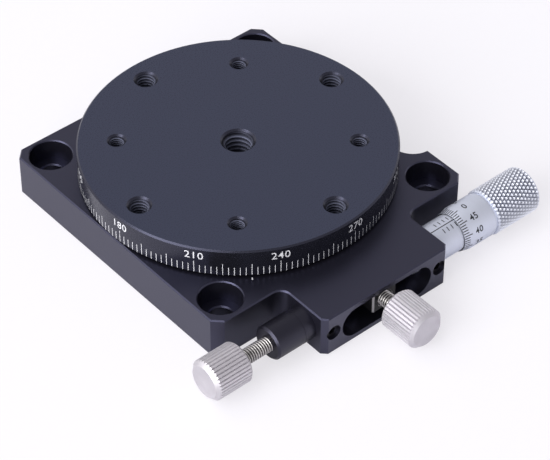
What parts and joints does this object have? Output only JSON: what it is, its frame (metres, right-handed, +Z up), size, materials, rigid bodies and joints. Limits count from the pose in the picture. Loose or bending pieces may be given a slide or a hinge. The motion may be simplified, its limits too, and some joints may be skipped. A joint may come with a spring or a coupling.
{
  "type": "manual rotation stage",
  "caption": "Manual rotation stage: round table on a ball bearing in a square base, turned finely by a micrometer on a tangent arm, with clamp and lock screws.",
  "frame": {"origin": "on the axis of rotation at the underside of the base, centre of the base's bolt pattern", "axes": "+Z up along the axis of rotation, +X along the micrometer towards the thimble, -Y towards the lug with the tangent arm"},
  "size_m": [0.0772, 0.0819, 0.015],
  "materials": {
    "black_anodised": "satin",
    "bearing_steel": "polished",
    "ground_steel": "satin",
    "black_steel": "satin",
    "spring_steel": "satin",
    "stainless_screw": "satin",
    "nickel_plate": "satin",
    "satin_chrome": "satin",
    "brass": "satin",
    "scale_white": "matte",
    "scale_black": "matte"
  },
  "bodies": {
    "base": {"base_plate": "black_anodised", "centre_spigot": "bearing_steel", "spigot_ring_nut": "black_steel", "bearing_inner_race": "bearing_steel", "micrometer_sleeve": "satin_chrome", "adjusting_nut": "brass", "sleeve_set_screw": "black_steel", "barrel_set_screw": "black_steel", "spring_barrel": "black_anodised", "plunger_spring": "spring_steel"},
    "ball_cage": {"bearing_balls": "bearing_steel", "bearing_cage": "brass"},
    "arm": {"clamp_ring": "black_steel", "tangent_arm": "black_steel", "arm_screws": "black_steel"},
    "table": {"rotary_table": "black_anodised", "clamp_hub": "ground_steel", "hub_screws": "black_steel", "bearing_outer_race": "bearing_steel", "bore_circlip": "black_steel", "hub_circlip": "black_steel"},
    "clamp_screw": {"clamp_stem": "stainless_screw", "clamp_shoe": "brass"},
    "clamp_knob": {"clamp_knob": "nickel_plate"},
    "spindle": {"spindle": "ground_steel"},
    "thimble": {"thimble": "satin_chrome", "thimble_end_screw": "stainless_screw"},
    "plunger": {"spring_plunger": "ground_steel"},
    "lock_screw": {"lock_stem": "stainless_screw"},
    "lock_knob": {"lock_knob": "nickel_plate"}
  },
  "joints": [
    {"name": "arm_swing", "type": "hinge", "parent": "base", "child": "arm", "pos_m": [0, 0, 0.0048], "axis": [0, 0, 1], "range_deg": [-5, 5]},
    {"name": "table_rotation", "type": "hinge", "parent": "arm", "child": "table", "pos_m": [0, 0, 0.005], "axis": [0, 0, 1], "continuous": true},
    {"name": "cage_roll", "type": "hinge", "parent": "base", "child": "ball_cage", "pos_m": [0, 0, 0.005], "axis": [0, 0, 1], "continuous": true},
    {"name": "thimble_spin", "type": "hinge", "parent": "spindle", "child": "thimble", "pos_m": [0, -0.036, 0.0048], "axis": [1, 0, 0], "range_deg": [-2260, 2260]},
    {"name": "spindle_slide", "type": "slide", "parent": "base", "child": "spindle", "axis": [1, 0, 0], "range_m": [-0.00314, 0.00314]},
    {"name": "plunger_slide", "type": "slide", "parent": "base", "child": "plunger", "axis": [1, 0, 0], "range_m": [-0.00314, 0.00314], "deforming": ["plunger_spring"]},
    {"name": "clamp_spin", "type": "hinge", "parent": "clamp_screw", "child": "clamp_knob", "pos_m": [0, -0.048, 0.0048], "axis": [0, -1, 0], "range_deg": [0, 1080]},
    {"name": "clamp_slide", "type": "slide", "parent": "arm", "child": "clamp_screw", "axis": [0, -1, 0], "range_m": [0, 0.0015]},
    {"name": "lock_spin", "type": "hinge", "parent": "lock_screw", "child": "lock_knob", "pos_m": [-0.033, -0.036, 0.0048], "axis": [1, 0, 0], "range_deg": [-1440, 2304]},
    {"name": "lock_slide", "type": "slide", "parent": "base", "child": "lock_screw", "axis": [1, 0, 0], "range_m": [-0.002, 0.0032]}
  ],
  "couplings": [
    {"joint": "thimble_spin", "follows": "spindle_slide", "rad_per_m": 12566},
    {"joint": "arm_swing", "follows": "spindle_slide", "rad_per_m": 27.778},
    {"joint": "plunger_slide", "follows": "spindle_slide", "ratio": 1},
    {"joint": "clamp_spin", "follows": "clamp_slide", "rad_per_m": 12566},
    {"joint": "lock_spin", "follows": "lock_slide", "rad_per_m": 12566},
    {"joint": "cage_roll", "follows": "table_rotation", "ratio": 0.555}
  ]
}
